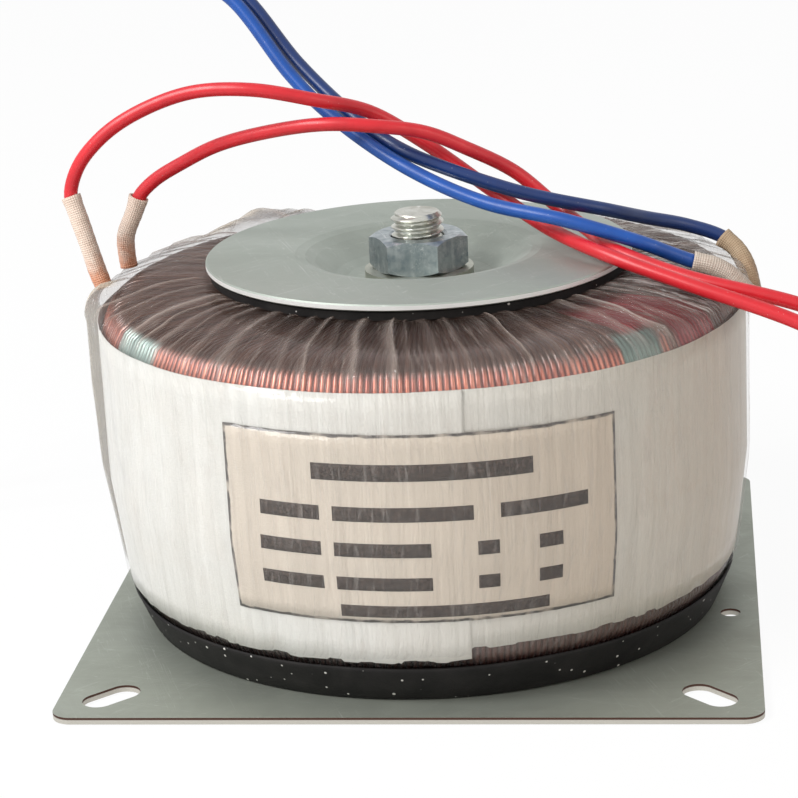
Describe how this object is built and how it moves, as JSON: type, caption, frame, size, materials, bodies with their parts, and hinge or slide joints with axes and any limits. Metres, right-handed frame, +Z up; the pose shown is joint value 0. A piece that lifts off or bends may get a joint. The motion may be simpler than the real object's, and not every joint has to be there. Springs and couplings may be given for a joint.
{
  "type": "toroidal transformer",
  "caption": "Toroidal mains transformer clamped to a slotted square mounting plate by one central bolt, with a pleated film wrap, a paper band, a blank label and sleeved flying leads.",
  "frame": {"origin": "centre of the mounting plate's underside, which is the face that the part stands on", "axes": "+Z up along the clamp bolt; X and Y along the sides of the square plate; -Y faces the side with the label"},
  "size_m": [0.2149, 0.1, 0.101],
  "materials": {
    "plate_zinc": "dull zinc plating on sheet steel",
    "disc_zinc": "dull zinc plating with a bright cut edge",
    "bolt_zinc": "bright zinc plating",
    "nut_zinc": "blue zinc plating",
    "washer_zinc": "zinc plating",
    "rubber": "black sheet rubber with dust",
    "core_steel": "wound silicon steel strip",
    "insulation": "polyester tape",
    "copper_wire": "enamelled copper wire",
    "paper_band": "off-white paper",
    "label_paper": "beige paper",
    "clear_film": "clear polyester film, pleated",
    "sleeve_glass_fibre": "woven glass fibre",
    "lead_red": "red insulation",
    "lead_blue": "blue insulation",
    "tinned_copper": "tinned strand"
  },
  "bodies": {
    "root": {"mounting_plate": "plate_zinc", "bottom_rubber_pad": "rubber", "steel_core": "core_steel", "core_insulation": "insulation", "primary_winding": "copper_wire", "interlayer_insulation": "insulation", "secondary_winding": "copper_wire", "paper_band": "paper_band", "rating_label": "label_paper", "outer_film_wrap": "clear_film", "top_rubber_pad": "rubber", "top_clamp_disc": "disc_zinc", "flat_washer": "washer_zinc", "hex_nut": "nut_zinc", "clamp_bolt": "bolt_zinc", "red_sleeve_1": "sleeve_glass_fibre", "red_sleeve_2": "sleeve_glass_fibre", "blue_sleeve_1": "sleeve_glass_fibre", "blue_sleeve_2": "sleeve_glass_fibre", "red_lead_1": "lead_red", "red_lead_2": "lead_red", "blue_lead_1": "lead_blue", "blue_lead_2": "lead_blue", "red_tip_1": "tinned_copper", "red_tip_2": "tinned_copper", "blue_tip_1": "tinned_copper", "blue_tip_2": "tinned_copper"}
  },
  "joints": []
}
